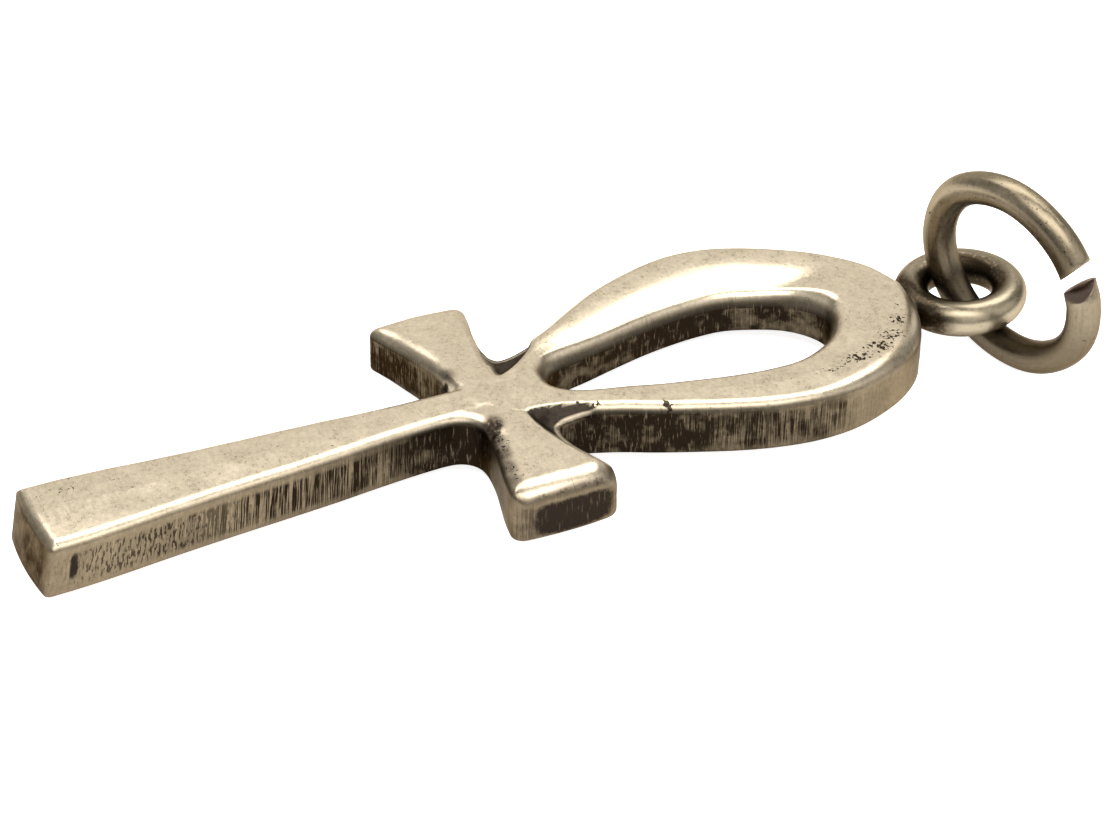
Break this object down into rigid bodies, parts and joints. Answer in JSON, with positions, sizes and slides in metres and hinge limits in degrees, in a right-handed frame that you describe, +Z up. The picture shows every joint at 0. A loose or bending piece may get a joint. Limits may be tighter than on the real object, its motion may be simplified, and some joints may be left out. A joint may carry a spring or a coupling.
{
  "type": "ankh pendant",
  "caption": "Ankh-shaped metal pendant with flared arms, a pierced loop, a bail ring soldered to the loop's end and an open jump ring hanging through it.",
  "frame": {"origin": "on the flat back of the plate, under the middle of the crossing of stem and arms", "axes": "+Y from the stem to the loop along the surface it lies on, +X towards the right arm, +Z up"},
  "size_m": [0.0139, 0.0404, 0.0085],
  "materials": {
    "worn_silver": "tarnished satin silver, darker walls",
    "ring_silver": "tarnished drawn silver wire"
  },
  "bodies": {
    "root": {"ankh": "worn_silver", "jump_ring": "ring_silver"}
  },
  "joints": []
}
